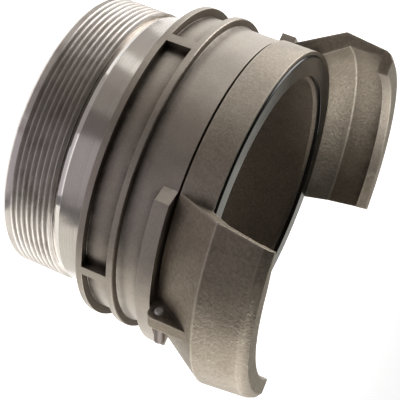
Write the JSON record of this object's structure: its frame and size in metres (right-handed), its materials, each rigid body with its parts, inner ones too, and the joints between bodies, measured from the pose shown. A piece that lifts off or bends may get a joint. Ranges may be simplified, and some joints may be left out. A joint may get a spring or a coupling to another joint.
{
  "type": "hose coupling half",
  "caption": "Symmetrical fire hose coupling half with hooked claws, a quarter-turn locking ring with ramps, a rubber face seal and a male pipe thread.",
  "frame": {"origin": "centre of the thread end face, which the coupling stands on", "axes": "+Z along the waterway from the thread end to the claws, +X through the middle of one claw"},
  "size_m": [0.1464, 0.1288, 0.1095],
  "materials": {
    "cast_steel": "bead-blasted stainless casting, machined bright at the thread",
    "seal_rubber": "matt black rubber",
    "drawn_steel": "bright drawn stainless wire"
  },
  "bodies": {
    "coupling_body": {"body": "cast_steel", "face_seal": "seal_rubber", "snap_ring": "drawn_steel", "rib_pin_a": "drawn_steel", "rib_pin_b": "drawn_steel"},
    "ring": {"locking_ring": "cast_steel"}
  },
  "joints": [
    {"name": "ring_turn", "type": "hinge", "parent": "coupling_body", "child": "ring", "pos_m": [0, 0, 0.0523], "axis": [0, 0, -1], "range_deg": [0, 90]}
  ]
}
